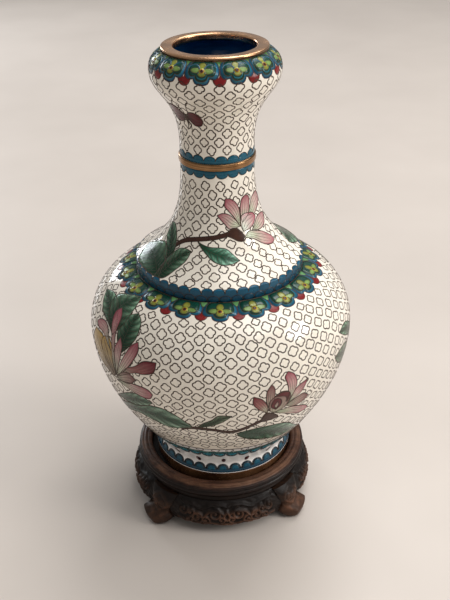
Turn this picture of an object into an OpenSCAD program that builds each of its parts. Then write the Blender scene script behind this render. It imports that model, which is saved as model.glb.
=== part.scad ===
// Cloisonne enamel vase standing in the recess of a carved hardwood stand.
// Units are millimetres. +Z is up, the floor is z = 0 and the vase axis is x = y = 0.
// The metal wall is copper, covered outside and inside with fired enamel.

/* [Overall heights] */
// Height of the top face of the stand above the floor
stand_top = 33;    // [25:0.5:45]
// Depth of the recess that takes the foot of the vase
recess_depth = 5;    // [3:0.5:8]
// Height of the foot ring, measured from the recess floor
foot_ring_h = 8.8;    // [5:0.2:14]
// Height at which the foot is narrowest, above the foot ring
foot_waist_z = 43;    // [38:0.5:50]
// Height at which the belly is widest
belly_z = 124.5;    // [100:0.5:150]
// Height of the foot of the raised collar
collar_low_z = 159.2;    // [150:0.2:170]
// Height of the top edge of the raised collar
collar_top_z = 166.2;    // [160:0.2:180]
// Height of the lower edge of the neck ring
neck_ring_low_z = 221.8;    // [200:0.1:240]
// Height of the upper edge of the neck ring
neck_ring_top_z = 225.5;    // [205:0.1:245]
// Height at which the mouth bulb starts to swell
swell_z = 232;    // [226:0.5:240]
// Height at which the mouth bulb is widest
bulb_z = 270.8;    // [260:0.2:276]
// Height at which the enamel ends under the rim
mouth_edge_z = 280.4;    // [276:0.2:290]
// Height of the top face of the rim
rim_top_z = 282.4;    // [280:0.2:295]

/* [Radii] */
// Radius of the enamel where it meets the foot ring
foot_r = 42.3;    // [35:0.1:50]
// Radius at the narrowest part of the foot
foot_waist_r = 40.6;    // [34:0.1:48]
// Outer radius of the brass foot ring
foot_ring_r = 41.9;    // [35:0.1:50]
// Inner radius of the brass foot ring
foot_ring_in_r = 38;    // [30:0.1:45]
// Largest radius of the belly
belly_r = 76;    // [60:0.5:95]
// Radius at the foot of the collar
collar_low_r = 47.3;    // [40:0.1:60]
// Radius at the top edge of the collar
collar_top_r = 47.1;    // [40:0.1:60]
// Radius of the neck at the ring
neck_r = 19.9;    // [14:0.1:26]
// Outer radius of the brass neck ring
neck_ring_r = 20.9;    // [15:0.1:28]
// Largest radius of the mouth bulb
bulb_r = 34.1;    // [28:0.1:42]
// Radius of the enamel edge under the rim
mouth_edge_r = 27.4;    // [22:0.1:34]
// Radius of the mouth opening
mouth_r = 21.3;    // [16:0.1:26]

/* [Curve lengths] */
// Pull of the flare of the foot at both of its ends
foot_flare_pull = 2.4;    // [0.5:0.1:4]
// Upward pull of the curve that leaves the foot
foot_pull = 6.5;    // [3:0.5:40]
// Downward pull of the curve that reaches the belly from below
belly_low_pull = 42.5;    // [10:0.5:60]
// Upward pull of the curve that leaves the belly
belly_top_pull = 17;    // [5:0.5:30]
// Outward pull of the curve that reaches the collar
shoulder_pull = 16;    // [5:0.5:30]
// Drop of the curve that reaches the collar
shoulder_drop = 2.5;    // [0:0.5:10]
// Inward pull of the curve that leaves the collar edge
flare_pull = 22;    // [5:0.5:30]
// Rise of the curve that leaves the collar edge
flare_rise = 12.5;    // [2:0.5:25]
// Downward pull of the curve that reaches the neck
neck_pull = 27.5;    // [5:0.5:40]
// Upward pull of the curve that leaves the neck
swell_pull = 25;    // [5:0.5:35]
// Downward pull of the curve that reaches the bulb
bulb_low_pull = 12;    // [4:0.5:25]
// Upward pull of the curve that leaves the bulb
bulb_top_pull = 4.5;    // [1:0.5:10]
// Outward pull of the curve that reaches the rim
mouth_pull = 4.5;    // [1:0.5:10]
// Drop of the curve that reaches the rim
mouth_drop = 2.5;    // [0:0.5:6]

/* [Wall] */
// Thickness of the outer enamel
enamel_t = 1;    // [0.5:0.1:2]
// Thickness of the copper wall
copper_t = 1.2;    // [0.8:0.1:2.5]
// Thickness of the enamel that lines the inside
liner_t = 0.6;    // [0.4:0.1:1.5]
// Width of a boundary wire that runs round the vase
wire_w = 0.6;    // [0.3:0.1:1]
// How far a boundary wire stands above the enamel
wire_proud = 0.15;    // [0:0.05:0.4]

/* [Borders] */
// Fraction of the lower body curve covered by the foot border
foot_border = 0.46;    // [0.1:0.01:0.6]
// Fraction of the shoulder curve at which the lappet border starts
lappet_start = 0.66;    // [0.4:0.01:0.9]
// Fraction of the flare at which the scallops below the neck ring start
low_scallop_start = 0.86;    // [0.6:0.01:0.95]
// Fraction of the swell at which the upper scallops end
top_scallop_end = 0.12;    // [0.02:0.01:0.3]
// Fraction of the swell at which the lappets of the mouth start
mouth_lappet_start = 0.86;    // [0.5:0.01:0.95]

/* [Base] */
// Thickness of the copper base plate
base_t = 1.5;    // [1:0.1:3]
// Height of the base plate above the recess floor
base_lift = 3.4;    // [1:0.1:6]

/* [Stand] */
// How far the stand axis lies to the side of the vase axis
stand_shift = 1.5;    // [0:0.1:2]
// Angle of the first leg from the +X axis
leg_turn = -42.6;    // [-90:0.1:90]
// Radius of the recess in the top ring
recess_r = 44;    // [42:0.1:50]
// Outer radius of the flat top of the ring
ring_flat_r = 50.6;    // [46:0.1:60]
// Outer radius of the upper bead
bead_r = 52.5;    // [48:0.1:60]
// Outer radius of the lower bead
low_bead_r = 52.9;    // [48:0.1:60]
// Height of the underside of the top ring
ring_low_z = 25.5;    // [20:0.5:28]
// Outer radius of the waist under the top ring
waist_r = 50.2;    // [45:0.1:56]
// Height of the top edge of the carved apron
apron_top_z = 22.4;    // [18:0.2:26]
// Height of the lower edge of the carved apron
apron_low_z = 5.6;    // [3:0.2:10]
// Largest radius of the carved apron
apron_r = 56.6;    // [50:0.1:65]
// Radius of the apron at its upper and lower edges
apron_edge_r = 54;    // [48:0.1:62]
// Inner radius of the apron
apron_in_r = 49;    // [40:0.1:55]
// Thickness of the board that floors the recess
board_t = 4;    // [2:0.5:8]
// Width of a leg
leg_w = 15;    // [8:0.5:24]
// Width of a leg at its foot
foot_w = 19;    // [8:0.5:28]
// Radius reached by the tip of a foot
foot_tip_r = 62.5;    // [56:0.5:75]

/* [Hidden] */
$fn = 96;
recess_z = stand_top - recess_depth;
foot_top_z = recess_z + foot_ring_h;
copper_o = enamel_t;
copper_i = enamel_t + copper_t;
liner_i = copper_i + liner_t;
rim_tuck_r = mouth_r + 1.2;
board_r = recess_r + 1.5;
half_wire = wire_w / 2;
// the collar's upper wire starts on the straight collar wall
collar_edge_r = collar_top_r + (collar_low_r - collar_top_r) * wire_w
    / (collar_top_z - collar_low_z - wire_w);

// Curves of the outer surface as [start, pull, pull, end], from the foot up
foot_curve = [[foot_r, foot_top_z], [foot_r - 0.4, foot_top_z + foot_flare_pull],
    [foot_waist_r, foot_waist_z - foot_flare_pull], [foot_waist_r, foot_waist_z]];
lower_curve = [[foot_waist_r, foot_waist_z], [foot_waist_r, foot_waist_z + foot_pull],
    [belly_r, belly_z - belly_low_pull], [belly_r, belly_z]];
upper_curve = [[belly_r, belly_z], [belly_r, belly_z + belly_top_pull],
    [collar_low_r + shoulder_pull, collar_low_z - shoulder_drop], [collar_low_r, collar_low_z]];
flare_curve = [[collar_top_r, collar_top_z], [collar_top_r - flare_pull, collar_top_z + flare_rise],
    [neck_r, neck_ring_low_z - neck_pull], [neck_r, neck_ring_low_z]];
swell_curve = [[neck_r, swell_z], [neck_r, swell_z + swell_pull],
    [bulb_r, bulb_z - bulb_low_pull], [bulb_r, bulb_z]];
mouth_curve = [[bulb_r, bulb_z], [bulb_r, bulb_z + bulb_top_pull],
    [mouth_edge_r + mouth_pull, mouth_edge_z - mouth_drop], [mouth_edge_r, mouth_edge_z]];

// Point of a curve at t from 0 to 1
function bez(c, t) = pow(1 - t, 3) * c[0] + 3 * t * pow(1 - t, 2) * c[1]
    + 3 * t * t * (1 - t) * c[2] + pow(t, 3) * c[3];

// Points of a curve after t = a, up to and including t = b
function run(c, a, b, n) = [for (i = [1:n]) bez(c, a + (b - a) * i / n)];

// Unit vector and the vector to the left of a direction, which is the inside of the wall
function unit(v) = v / norm(v);
function left(v) = [-v[1], v[0]];

// Offset of point i of a path by d towards the inside, mitred at the corners and level at the foot
function mitre(p, i, d) = i == 0 ? p[0] - [d, 0] : let (
    last = len(p) - 1,
    a = unit(p[i] - p[i - 1]),
    b = unit(i == last ? p[last] - p[last - 1] : p[i + 1] - p[i]),
    n = unit(left(a) + left(b)))
    p[i] + n * d / (n * left(a));

// Closed section of the wall between points a and b of a path and between two offsets
function wall(p, a, b, outer, inner) = concat(
    [for (i = [a:b]) mitre(p, i, outer)], [for (i = [b:-1:a]) mitre(p, i, inner)]);

// The whole outer surface as one path, with the number of steps in each stretch
steps_flare_foot = 3;
steps_foot = 6;
steps_belly_low = 8;
steps_belly_top = 7;
steps_lappet = 5;
steps_flare = 9;
steps_low_scallop = 3;
steps_top_scallop = 2;
steps_mouth = 8;
steps_mouth_lappet = 2;
steps_bulb = 5;
wire_dt = 0.006;

path = concat(
    [foot_curve[0]],
    run(foot_curve, 0, 1, steps_flare_foot),
    run(lower_curve, 0, foot_border - wire_dt, steps_foot),
    run(lower_curve, foot_border - wire_dt, foot_border + wire_dt, 1),
    run(lower_curve, foot_border + wire_dt, 1, steps_belly_low),
    run(upper_curve, 0, lappet_start, steps_belly_top),
    run(upper_curve, lappet_start, 1, steps_lappet),
    [[collar_low_r, collar_low_z + wire_w], [collar_edge_r, collar_top_z - wire_w], flare_curve[0]],
    run(flare_curve, 0, low_scallop_start, steps_flare),
    run(flare_curve, low_scallop_start, 1, steps_low_scallop),
    [[neck_r, neck_ring_top_z], [neck_r, swell_z]],
    run(swell_curve, 0, top_scallop_end, steps_top_scallop),
    run(swell_curve, top_scallop_end, mouth_lappet_start, steps_mouth),
    run(swell_curve, mouth_lappet_start, 1, steps_mouth_lappet),
    run(mouth_curve, 0, 1, steps_bulb),
    [[mouth_edge_r - 1.95, mouth_edge_z + enamel_t], [rim_tuck_r, mouth_edge_z + enamel_t]]);

// Index of the last point of each stretch
i_foot = steps_flare_foot + steps_foot;
i_foot_wire = i_foot + 1;
i_belly = i_foot_wire + steps_belly_low;
i_shoulder = i_belly + steps_belly_top;
i_lappet = i_shoulder + steps_lappet;
i_collar_wire = i_lappet + 1;
i_collar = i_collar_wire + 1;
i_edge_wire = i_collar + 1;
i_flare = i_edge_wire + steps_flare;
i_low_scallop = i_flare + steps_low_scallop;
i_neck_ring = i_low_scallop + 1;
i_top_scallop = i_neck_ring + 1 + steps_top_scallop;
i_mouth = i_top_scallop + steps_mouth;
i_edge = i_mouth + steps_mouth_lappet + steps_bulb;
i_tuck = i_edge + 2;

// The same path for the copper and the liner, without the short step of the collar's edge wire
core = [for (i = [0:len(path) - 1]) if (i != i_collar) path[i]];
function k(i) = i > i_collar ? i - 1 : i;

// Part to draw, or all of them

copper = [0.72, 0.42, 0.26];
brass = [0.80, 0.60, 0.36];
cream = [0.90, 0.86, 0.79];
teal = [0.05, 0.38, 0.48];
navy = [0.07, 0.12, 0.30];
wood = [0.28, 0.17, 0.12];
dark_wood = [0.20, 0.12, 0.09];

// One stretch of the wall turned about the axis
module wall_ring(a, b, outer, inner) {
    rotate_extrude() polygon(wall(path, a, b, outer, inner));
}
module core_ring(a, b, outer, inner) {
    rotate_extrude() polygon(wall(core, k(a), k(b), outer, inner));
}

// Brass ring that the vase stands on, half round on the outside
module foot_ring() color(brass) rotate_extrude() polygon([
    [foot_ring_in_r, recess_z], [foot_ring_r - 0.8, recess_z], [foot_ring_r, recess_z + 0.8],
    [foot_ring_r, foot_top_z - 1.2], [foot_ring_r - 0.5, foot_top_z], [foot_ring_in_r, foot_top_z]]);

// Copper plate that closes the foot, enamelled on both sides
module base_plate() color(copper) translate([0, 0, recess_z + base_lift])
    cylinder(h = base_t, r = foot_ring_in_r);
module base_enamel() color(navy) translate([0, 0, recess_z + base_lift - liner_t])
    cylinder(h = liner_t, r = foot_ring_in_r);
module base_liner() color(navy) translate([0, 0, recess_z + base_lift + base_t])
    cylinder(h = liner_t, r = foot_ring_in_r);

// Raised copper wall, soldered together from five rings
module copper_foot() color(copper) core_ring(0, i_foot_wire, copper_o, copper_i);
module copper_belly() color(copper) core_ring(i_foot_wire, i_belly, copper_o, copper_i);
module copper_shoulder() color(copper) core_ring(i_belly, i_edge_wire, copper_o, copper_i);
module copper_neck() color(copper) core_ring(i_edge_wire, i_neck_ring, copper_o, copper_i);
module copper_mouth() color(copper) core_ring(i_neck_ring, i_tuck, copper_o, copper_i);

// Blue enamel fired on the inside of the wall
module liner_belly() color(navy) core_ring(0, i_belly, copper_i, liner_i);
module liner_shoulder() color(navy) core_ring(i_belly, i_edge_wire, copper_i, liner_i);
module liner_neck() color(navy) core_ring(i_edge_wire, i_neck_ring, copper_i, liner_i);
module liner_mouth() color(navy) core_ring(i_neck_ring, i_tuck, copper_i, liner_i);

// Fields and borders of the outer enamel, from the foot up
module enamel_foot_border() color(cream) wall_ring(0, i_foot, 0, copper_o);
module wire_foot() color(copper) wall_ring(i_foot, i_foot_wire, -wire_proud, copper_o);
module enamel_belly() color(cream) wall_ring(i_foot_wire, i_belly, 0, copper_o);
module enamel_shoulder() color(cream) wall_ring(i_belly, i_shoulder, 0, copper_o);
module enamel_shoulder_border() color(teal) wall_ring(i_shoulder, i_lappet, 0, copper_o);
module wire_collar_foot() color(copper) wall_ring(i_lappet, i_collar_wire, -wire_proud, copper_o);
module enamel_collar() color(teal) wall_ring(i_collar_wire, i_collar, 0, copper_o);
module wire_collar_edge() color(copper) wall_ring(i_collar, i_edge_wire, -wire_proud, copper_o);
module enamel_neck() color(cream) wall_ring(i_edge_wire, i_flare, 0, copper_o);
module enamel_neck_low_border() color(teal) wall_ring(i_flare, i_low_scallop, 0, copper_o);
module enamel_neck_top_border() color(teal) wall_ring(i_neck_ring, i_top_scallop, 0, copper_o);
module enamel_mouth() color(cream) wall_ring(i_top_scallop, i_mouth, 0, copper_o);
module enamel_mouth_border() color(teal) wall_ring(i_mouth, i_edge, 0, copper_o);

// Brass ring soldered round the neck
module neck_ring() color(brass) rotate_extrude() polygon([
    [neck_r - enamel_t, neck_ring_low_z], [neck_ring_r - 0.5, neck_ring_low_z],
    [neck_ring_r, neck_ring_low_z + 0.6], [neck_ring_r, neck_ring_top_z - 0.6],
    [neck_ring_r - 0.5, neck_ring_top_z], [neck_r - enamel_t, neck_ring_top_z]]);

// Flat brass rim with a short wall down into the mouth
module mouth_rim() color(brass) rotate_extrude() polygon(concat(
    [[mouth_edge_r, mouth_edge_z], [mouth_edge_r + 0.1, mouth_edge_z + 0.5],
     [mouth_edge_r + 0.1, rim_top_z - 0.6], [mouth_edge_r - 0.5, rim_top_z],
     [mouth_r + 0.7, rim_top_z], [mouth_r, rim_top_z - 0.7], [mouth_r, rim_top_z - 3.5],
     [rim_tuck_r, rim_top_z - 3.5]],
    [for (i = [i_tuck:-1:i_edge]) mitre(path, i, copper_o)]));

// Everything of the stand turns about its own axis
module on_stand() translate([-stand_shift, 0, 0]) children();

// Turned top ring with a rebated recess and two beads round the edge
module stand_ring() color(wood) on_stand() rotate_extrude() polygon([
    [recess_r, recess_z], [recess_r, stand_top - 0.4], [recess_r + 0.4, stand_top],
    [ring_flat_r, stand_top], [ring_flat_r + 0.9, stand_top - 0.4], [bead_r - 0.2, stand_top - 1.1],
    [bead_r, stand_top - 1.9], [bead_r - 0.3, stand_top - 2.8], [bead_r - 1.2, stand_top - 3.3],
    [low_bead_r - 0.7, stand_top - 3.8], [low_bead_r, stand_top - 4.6],
    [low_bead_r, stand_top - 5.4], [low_bead_r - 0.7, stand_top - 6.2],
    [waist_r + 0.6, stand_top - 6.6], [waist_r, ring_low_z], [board_r, ring_low_z],
    [board_r, recess_z]]);

// Board that floors the recess, set in the rebate of the ring
module stand_board() color(dark_wood) on_stand() translate([0, 0, recess_z - board_t])
    cylinder(h = board_t, r = board_r);

// Hollow waist between the top ring and the apron
module stand_waist() color(dark_wood) on_stand() rotate_extrude() polygon([
    [board_r, ring_low_z], [waist_r, ring_low_z], [waist_r - 0.9, ring_low_z - 1.4],
    [waist_r, apron_top_z], [board_r, apron_top_z]]);

// Section of the apron, swelling outwards between its two edges
apron_curve = [[apron_edge_r, apron_low_z], [apron_r + 1.2, apron_low_z + 5.5],
    [apron_r + 0.8, apron_top_z - 5], [apron_edge_r - 1, apron_top_z]];
apron_out = concat([apron_curve[0]], run(apron_curve, 0, 1, 7));
apron_section = concat(apron_out,
    [[board_r, apron_top_z], [board_r, apron_top_z - 4], [apron_in_r, apron_top_z - 5],
     [apron_in_r, apron_low_z]]);

// Front view of a leg as [side, height], from the sole up, wider at the foot
leg_half = [[foot_w / 2 - 5, 0], [foot_w / 2 - 2, 1.2], [foot_w / 2, 3.6], [foot_w / 2 - 1, 6],
    [leg_w / 2 - 0.4, 8.4], [leg_w / 2, 11], [leg_w / 2, apron_top_z]];
leg_front = concat(leg_half, [for (i = [len(leg_half) - 1:-1:0]) [-leg_half[i][0], leg_half[i][1]]]);
leg_in_r = board_r + 3;

// Space that leg k takes, seen from the front, from its inner face outwards
module leg_space(k) rotate([0, 0, leg_turn + 90 * k]) translate([leg_in_r, 0, 0])
    rotate([90, 0, 90]) linear_extrude(height = foot_tip_r) polygon(leg_front);

// One of the four apron panels, cut out for its two legs and cusped along its lower edge
cusp_step = 13.5;
module apron(k) color(wood) on_stand() difference() {
    rotate([0, 0, leg_turn + 90 * k]) rotate_extrude(angle = 90) polygon(apron_section);
    leg_space(k);
    leg_space(k + 1);
    for (s = [-2:2]) rotate([0, 0, leg_turn + 90 * k + 45 + s * cusp_step])
        translate([apron_in_r - 5, 0, apron_low_z - 4.6]) rotate([0, 90, 0])
            cylinder(h = 20, r = 6, $fn = 48);
}
module apron_front() apron(-1);
module apron_right() apron(0);
module apron_back() apron(1);
module apron_left() apron(2);

// Side view of a leg as [radius, height], from the inner top corner round the knee to the foot
leg_side = [[leg_in_r, apron_top_z], [apron_edge_r, apron_top_z], [apron_r + 0.6, apron_top_z - 3],
    [apron_r + 1.4, 15], [apron_r + 0.9, 11.5], [apron_r + 0.3, 8.6], [foot_tip_r - 2.2, 7],
    [foot_tip_r - 0.4, 5.6], [foot_tip_r, 3.8], [foot_tip_r - 0.7, 1.6], [foot_tip_r - 2.6, 0.3],
    [foot_tip_r - 4.4, 0], [foot_tip_r - 7.5, 0], [foot_tip_r - 9, 1.6], [apron_edge_r - 1.6, 4],
    [apron_edge_r - 3.4, 7], [leg_in_r + 0.6, 9]];

// One of the four scrolled legs
module leg(k) color(wood) on_stand() intersection() {
    rotate([0, 0, leg_turn + 90 * k]) translate([0, foot_w, 0]) rotate([90, 0, 0])
        linear_extrude(height = 2 * foot_w) polygon(leg_side);
    leg_space(k);
}
module leg_front_right() leg(0);
module leg_back_right() leg(1);
module leg_back_left() leg(2);
module leg_front_left() leg(3);

foot_ring();
base_plate();
base_enamel();
base_liner();
copper_foot();
copper_belly();
copper_shoulder();
copper_neck();
copper_mouth();
liner_belly();
liner_shoulder();
liner_neck();
liner_mouth();
enamel_foot_border();
wire_foot();
enamel_belly();
enamel_shoulder();
enamel_shoulder_border();
wire_collar_foot();
enamel_collar();
wire_collar_edge();
enamel_neck();
enamel_neck_low_border();
neck_ring();
enamel_neck_top_border();
enamel_mouth();
enamel_mouth_border();
mouth_rim();
stand_ring();
stand_board();
stand_waist();
apron_front();
apron_right();
apron_back();
apron_left();
leg_front_right();
leg_back_right();
leg_back_left();
leg_front_left();
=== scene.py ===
import math
import random

import bpy
import numpy as np
from mathutils import Matrix, Vector


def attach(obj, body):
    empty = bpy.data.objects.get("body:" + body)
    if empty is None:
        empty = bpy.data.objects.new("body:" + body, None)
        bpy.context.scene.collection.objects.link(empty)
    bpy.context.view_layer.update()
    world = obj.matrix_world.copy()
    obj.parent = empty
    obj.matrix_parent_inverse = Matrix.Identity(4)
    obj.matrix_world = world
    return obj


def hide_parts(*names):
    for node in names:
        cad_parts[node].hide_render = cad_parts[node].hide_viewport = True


# A cloisonné vase that stands loose in a carved wooden stand. All lengths are
# millimetres, in the frame of the CAD part, until MM turns them into metres.
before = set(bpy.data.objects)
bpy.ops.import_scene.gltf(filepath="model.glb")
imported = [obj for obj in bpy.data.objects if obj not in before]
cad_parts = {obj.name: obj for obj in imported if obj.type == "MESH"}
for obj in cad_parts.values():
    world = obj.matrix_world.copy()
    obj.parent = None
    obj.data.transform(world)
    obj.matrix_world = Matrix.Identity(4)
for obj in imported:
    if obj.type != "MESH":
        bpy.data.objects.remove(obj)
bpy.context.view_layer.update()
MM = 0.001
rng = random.Random(7)
scene = bpy.context.scene

# heights that the vase's sections share
FOOT_WIRE_Z, BELLY_Z = 67.0, 124.5
COLLAR_Z, COLLAR_TOP_Z = 159.2, 166.2
RING_LOW_Z, RING_TOP_Z = 221.8, 225.5

# the outer wall from the foot to the mouth, as Bezier curves of (radius, height)
WALL = {
    "foot": [(42.3, 36.8), (41.9, 39.2), (40.6, 40.6), (40.6, 43)],
    "belly": [(40.6, 43), (40.6, 49.5), (76, 82), (76, BELLY_Z)],
    "shoulder": [(76, BELLY_Z), (76, 141.5), (63.3, 156.7), (47.3, COLLAR_Z)],
    "collar": [(47.3, COLLAR_Z), (47.25, 161.5), (47.2, 163.9), (47.1, COLLAR_TOP_Z)],
    "flare": [(47.1, COLLAR_TOP_Z), (25.1, 178.7), (19.9, 194.3), (19.9, RING_LOW_Z)],
    "neck": [(19.9, RING_LOW_Z), (19.9, 225.2), (19.9, 228.6), (19.9, 232)],
    "bulb": [(19.9, 232), (19.9, 257), (34.1, 258.8), (34.1, 270.8)],
    "lip": [(34.1, 270.8), (34.1, 275.3), (31.9, 277.9), (27.4, 280.4)],
}


# ---- places on the vase's wall
# A place is (azimuth, u): degrees round from the front, to the right, and mm along the
# wall from its widest circle, upwards.
def bez(c, n=240):
    t = np.linspace(0, 1, n)[:, None]
    c = np.array(c, float)
    return (1 - t) ** 3 * c[0] + 3 * (1 - t) ** 2 * t * c[1] + 3 * (1 - t) * t * t * c[2] + t ** 3 * c[3]


points = np.concatenate([bez(c)[0 if i == 0 else 1:] for i, c in enumerate(WALL.values())])
tangents = np.gradient(points, axis=0)
tangents /= np.linalg.norm(tangents, axis=1, keepdims=True)
WALL_R, WALL_Z = points[:, 0], points[:, 1]
OUT_R, OUT_Z = tangents[:, 1], -tangents[:, 0]
lengths = np.concatenate([[0], np.cumsum(np.hypot(*np.diff(points, axis=0).T))])
WALL_U = lengths - np.interp(BELLY_Z, WALL_Z, lengths)


def rad(u):
    return np.interp(u, WALL_U, WALL_R)


def u_of_z(z):
    return float(np.interp(z, WALL_Z, WALL_U))


def u_on(curve_name, percent):
    """u at a place on one of the wall's curves, as a percentage of the curve's parameter."""
    return u_of_z(bez(WALL[curve_name], 1001)[10 * percent, 1])


def circle(n):
    """n angles in radians, evenly round a circle."""
    return np.arange(n) / n * 2 * math.pi


def mm_per_degree(u):
    return math.pi / 180 * rad(u)


def degrees_per_mm(u):
    return 180 / math.pi / float(rad(u))


def surf(az, u, lift=0.0):
    """The point in metres at a place on the wall, lift mm out from it."""
    az, u, lift = np.broadcast_arrays(np.asarray(az, float), np.asarray(u, float), np.asarray(lift, float))
    a = np.radians(az)
    r = np.interp(u, WALL_U, WALL_R) + lift * np.interp(u, WALL_U, OUT_R)
    z = np.interp(u, WALL_U, WALL_Z) + lift * np.interp(u, WALL_U, OUT_Z)
    return np.stack([r * np.sin(a), -r * np.cos(a), z], -1) * MM


U_FOOT, U_EDGE = WALL_U[0], WALL_U[-1]
U_FOOT_WIRE = u_of_z(FOOT_WIRE_Z)
U_COLLAR, U_COLLAR_TOP = u_of_z(COLLAR_Z), u_of_z(COLLAR_TOP_Z)
U_RING_LOW, U_RING_TOP = u_of_z(RING_LOW_Z), u_of_z(RING_TOP_Z)
ROUND = np.arange(256) / 256 * 360    # azimuths once round the vase
SINK = -0.04                          # lift of an edge that dips under the enamel
MIDRIB = (0.5,)                       # a leaf's one lengthwise vein, which has side veins
THREE_VEINS = (0.25, 0.5, 0.75)


# ---- mesh building
class Bag:
    """Gathers vertices, faces and vertex tints, and makes one object of them."""

    def __init__(self):
        self.v, self.q, self.c, self.n = [], [], [], 0

    def add(self, v, quads, col):
        self.v.append(v)
        self.c.append(np.broadcast_to(np.asarray(col, float), v.shape))
        self.q.append(np.asarray(quads, int).reshape(-1, 4) + self.n)
        self.n += len(v)

    def grid(self, P, col=(1, 1, 1), closed_i=False, closed_j=False):
        """P[i, j]: i to the right and j upward give an outward face."""
        ni, nj = P.shape[:2]
        ii = np.arange(ni if closed_i else ni - 1)
        jj = np.arange(nj if closed_j else nj - 1)
        I, J = np.meshgrid(ii, jj, indexing="ij")
        I2, J2 = (I + 1) % ni, (J + 1) % nj
        quads = np.stack([I * nj + J, I2 * nj + J, I2 * nj + J2, I * nj + J2], -1)
        if np.ndim(col) == 3:
            col = np.asarray(col).reshape(-1, 3)
        self.add(P.reshape(-1, 3), quads, col)

    def cap(self, P, flip):
        """Closes one end of a tube whose ring P goes out along one side and back along the other."""
        n = len(P)
        quads = [[j, j + 1, n - 2 - j, n - 1 - j] for j in range(n // 2 - 1)]
        self.add(P, [q[::-1] for q in quads] if flip else quads, (0, 0, 0))

    def make(self, name, mat, body, slot, replaces=()):
        V, Q = np.concatenate(self.v), np.concatenate(self.q)
        me = bpy.data.meshes.new(name)
        me.from_pydata(V.tolist(), [], Q.tolist(), shade_flat=False)
        me.validate()
        tints = me.color_attributes.new("tint", "FLOAT_COLOR", "POINT")
        rgba = np.concatenate([np.concatenate(self.c), np.ones((len(V), 1))], 1)
        tints.data.foreach_set("color", rgba.astype(np.float32).ravel())
        me.materials.append(mat)
        o = bpy.data.objects.new(name, me)
        scene.collection.objects.link(o)
        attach(o, body)
        if replaces:
            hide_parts(*replaces)


def lathe(bag, outline, n=224, col=(1, 1, 1), cx=0.0, wob=None):
    """Revolves a closed (r, z) outline, listed going up the outside first, about x = cx."""
    p = np.array(outline, float)
    a = circle(n)
    r = p[None, :, 0] + np.zeros((n, 1))
    z = p[None, :, 1] + np.zeros((n, 1))
    if wob is not None:
        dr, dz = wob(a[:, None], p[None, :, 0], p[None, :, 1])
        r, z = r + dr, z + dz
    P = np.stack([cx + r * np.sin(a)[:, None], -r * np.cos(a)[:, None], z], -1) * MM
    bag.grid(P, np.broadcast_to(col, P.shape), closed_i=True, closed_j=True)


def spline(pts, n):
    """n points on the Catmull-Rom curve through pts."""
    p = np.array(pts, float)
    if len(p) == 2:
        t = np.linspace(0, 1, n)[:, None]
        return p[0] * (1 - t) + p[1] * t
    ext = np.concatenate([2 * p[:1] - p[1:2], p, 2 * p[-1:] - p[-2:-1]])
    segs = len(p) - 1
    s = np.linspace(0, segs, n)
    k = np.minimum(s.astype(int), segs - 1)
    t = (s - k)[:, None]
    a, b, c, d = ext[k], ext[k + 1], ext[k + 2], ext[k + 3]
    return 0.5 * (2 * b + (c - a) * t + (2 * a - 5 * b + 4 * c - d) * t * t
                  + (3 * b - a - 3 * c + d) * t ** 3)


def even(p, n):
    """n places on a path of places, evenly by length."""
    d = np.hypot(np.diff(p[:, 0]) * mm_per_degree(p[:, 1].mean()), np.diff(p[:, 1]))
    s = np.concatenate([[0], np.cumsum(d)])
    t = np.linspace(0, s[-1], n)
    return np.stack([np.interp(t, s, p[:, 0]), np.interp(t, s, p[:, 1])], 1)


def across_path(p, closed=False):
    """The unit vector to the left of a path of places, as (mm round, mm up), and mm per degree there."""
    k = mm_per_degree(p[:, 1])
    d = np.roll(p, -1, 0) - np.roll(p, 1, 0) if closed else np.gradient(p, axis=0)
    x, y = d[:, 0] * k, d[:, 1]
    size = np.hypot(x, y) + 1e-9
    return -y / size, x / size, k


def ribbon(bag, path, w=0.5, h=0.14, closed=False, col=(1, 1, 1), taper=False):
    """A wire laid on the wall along a path of places."""
    p = np.asarray(path, float)
    left, up, k = across_path(p, closed)
    half = np.full(len(p), w / 2)
    if taper:
        half = half * (0.35 + 0.65 * np.sin(np.linspace(0.25, math.pi - 0.1, len(p))))
    rows = []
    for side, lift in ((1.0, SINK), (0.62, h), (-0.62, h), (-1.0, SINK)):
        rows.append(surf(p[:, 0] + left * half * side / k, p[:, 1] + up * half * side, lift))
    bag.grid(np.stack(rows, 0), col, closed_j=closed)


def fill_loop(bag, loop, h, col, rings, centre=None):
    """Fills a star-shaped closed loop of places, listed anticlockwise seen from outside.

    col is a colour, or a function of u and of the share of the way from the centre."""
    p = np.asarray(loop, float)
    c = p.mean(0) if centre is None else np.array(centre, float)
    shares = np.linspace(1, 0.001, rings + 1)
    chart = [p] + [c + (p - c) * f for f in shares]
    lifts = [SINK] + [h] * len(shares)
    P = np.stack([surf(q[:, 0], q[:, 1], lift) for q, lift in zip(chart, lifts)], 1)
    if callable(col):
        col = np.stack([col(q[:, 1], np.full(len(q), f)) for q, f in zip(chart, [1, *shares])], 1)
    bag.grid(P, col, closed_i=True)


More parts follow.
